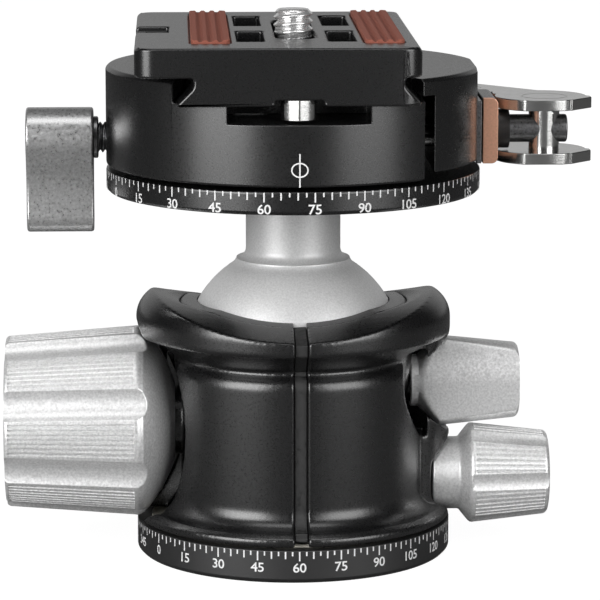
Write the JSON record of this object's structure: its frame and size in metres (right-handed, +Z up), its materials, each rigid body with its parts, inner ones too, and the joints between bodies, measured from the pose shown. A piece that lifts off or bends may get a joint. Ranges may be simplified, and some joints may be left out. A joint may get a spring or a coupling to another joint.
{
  "type": "tripod ball head",
  "caption": "Ball head with a panning base, friction and lock knobs, a drop notch, and a panning lever clamp that holds a dovetail camera plate.",
  "frame": {"origin": "centre of the tripod thread's mouth, on the base's bottom face", "axes": "+Z up along the pan axis, -Y towards the front of the dials, +X towards the clamp's lever and the two small knobs, the main knob at -X"},
  "size_m": [0.0958, 0.0662, 0.0893],
  "materials": {
    "black_anodised": "matt black hard anodising over a fine blasted grain",
    "grey_anodised": "satin silver grey anodising with a blasted grain",
    "blasted_aluminium": "bead blasted silver",
    "plain_aluminium": "turned",
    "bright_steel": "polished",
    "plain_steel": "turned",
    "dark_steel": "blackened",
    "copper_anodised": "satin copper coloured anodising",
    "shoe_brass": "turned",
    "nylon": "plain",
    "grey_filler": "rough",
    "black_plastic": "satin",
    "brown_rubber": "matt, ribbed"
  },
  "bodies": {
    "base": {"base_plate": "black_anodised", "base_bushing": "plain_steel", "pan_spindle": "plain_aluminium", "base_screws": "plain_steel", "pan_washer": "nylon", "spindle_washer": "nylon"},
    "housing": {"housing": "black_anodised", "ball_collar": "black_anodised", "slit_strip": "grey_filler"},
    "main_shoe": {"main_shoe": "shoe_brass"},
    "main_knob": {"main_knob": "grey_anodised", "main_screw": "plain_steel", "main_knob_cap": "black_plastic"},
    "tension_shoe": {"tension_shoe": "nylon"},
    "tension_knob": {"tension_knob": "grey_anodised", "tension_screw": "plain_steel"},
    "pan_plug": {"pan_plug": "nylon"},
    "pan_lock_knob": {"pan_lock_knob": "grey_anodised", "pan_lock_screw": "plain_steel"},
    "ball_seat": {"ball_seat": "nylon"},
    "ball": {"ball": "blasted_aluminium", "clamp_dial": "black_anodised", "clamp_retainer": "plain_steel", "stem_bolt": "dark_steel"},
    "clamp": {"clamp_body": "black_anodised", "draw_rod": "dark_steel", "lever_pin": "bright_steel", "guide_pins": "bright_steel"},
    "jaw": {"movable_jaw": "black_anodised", "jaw_plate": "dark_steel", "cam_block": "black_anodised", "wear_plate": "copper_anodised", "jaw_bush": "black_plastic", "jaw_springs": "plain_steel"},
    "lever": {"lever_plate_top": "bright_steel", "lever_plate_bottom": "bright_steel", "lever_handle": "black_anodised", "lever_rivets": "bright_steel"},
    "clamp_plug": {"clamp_plug": "nylon"},
    "clamp_paddle": {"clamp_paddle": "grey_anodised", "clamp_screw": "dark_steel"},
    "plate": {"qr_plate": "black_anodised", "pad_left": "brown_rubber", "pad_right": "brown_rubber", "stop_screws": "bright_steel", "strap_loop": "black_plastic"},
    "screw_washer": {"screw_washer": "plain_steel"},
    "camera_screw": {"camera_screw": "bright_steel"}
  },
  "joints": [
    {"name": "housing_pan", "type": "hinge", "parent": "base", "child": "housing", "pos_m": [0, 0, 0], "axis": [0, 0, 1], "continuous": true},
    {"name": "main_shoe_slide", "type": "slide", "parent": "housing", "child": "main_shoe", "axis": [1, 0, 0], "range_m": [-0.00126, 0]},
    {"name": "main_knob_turn", "type": "hinge", "parent": "main_shoe", "child": "main_knob", "pos_m": [-0.036, 0, 0.0214], "axis": [1, 0, 0], "range_deg": [-360, 0]},
    {"name": "tension_shoe_slide", "type": "slide", "parent": "housing", "child": "tension_shoe", "axis": [-1, 0, 0], "range_m": [-0.00101, 0]},
    {"name": "tension_knob_turn", "type": "hinge", "parent": "tension_shoe", "child": "tension_knob", "pos_m": [0.03, 0, 0.0278], "axis": [-1, 0, 0], "range_deg": [-360, 0]},
    {"name": "pan_plug_slide", "type": "slide", "parent": "housing", "child": "pan_plug", "axis": [-1, 0, 0], "range_m": [-0.00101, 0]},
    {"name": "pan_lock_turn", "type": "hinge", "parent": "pan_plug", "child": "pan_lock_knob", "pos_m": [0.035, 0, 0.0121], "axis": [-1, 0, 0], "range_deg": [-360, 0]},
    {"name": "ball_spin", "type": "hinge", "parent": "housing", "child": "ball_seat", "pos_m": [0, 0, 0.0326], "axis": [0, 0, 1], "range_deg": [-90, 90]},
    {"name": "ball_tilt", "type": "hinge", "parent": "ball_seat", "child": "ball", "pos_m": [0, 0, 0.0326], "axis": [0, 1, 0], "range_deg": [-20, 28]},
    {"name": "clamp_pan", "type": "hinge", "parent": "ball", "child": "clamp", "pos_m": [0, 0, 0.067], "axis": [0, 0, 1], "continuous": true},
    {"name": "jaw_slide", "type": "slide", "parent": "clamp", "child": "jaw", "axis": [1, 0, 0], "range_m": [0, 0.0014], "deforming": ["jaw_springs"]},
    {"name": "lever_turn", "type": "hinge", "parent": "clamp", "child": "lever", "pos_m": [0.041, 0, 0.06965], "axis": [0, 0, -1], "range_deg": [0, 100]},
    {"name": "clamp_plug_slide", "type": "slide", "parent": "clamp", "child": "clamp_plug", "axis": [1, 0, 0], "range_m": [-0.00061, 0]},
    {"name": "paddle_turn", "type": "hinge", "parent": "clamp_plug", "child": "clamp_paddle", "pos_m": [-0.038, 0, 0.0685], "axis": [1, 0, 0], "range_deg": [-270, 0]},
    {"name": "plate_slide", "type": "slide", "parent": "clamp", "child": "plate", "axis": [0, 1, 0], "range_m": [-0.0078, 0.0078]},
    {"name": "screw_slide", "type": "slide", "parent": "plate", "child": "screw_washer", "axis": [0, 1, 0], "range_m": [-0.012, 0.012]},
    {"name": "screw_turn", "type": "hinge", "parent": "screw_washer", "child": "camera_screw", "pos_m": [0, 0, 0.085], "axis": [0, 0, 1], "continuous": true}
  ],
  "couplings": [
    {"joint": "main_shoe_slide", "follows": "main_knob_turn", "m_per_rad": 0.00019894},
    {"joint": "tension_shoe_slide", "follows": "tension_knob_turn", "m_per_rad": 0.00015915},
    {"joint": "pan_plug_slide", "follows": "pan_lock_turn", "m_per_rad": 0.00015915},
    {"joint": "jaw_slide", "follows": "lever_turn", "m_per_rad": 0.0008},
    {"joint": "clamp_plug_slide", "follows": "paddle_turn", "m_per_rad": 0.00012732}
  ]
}
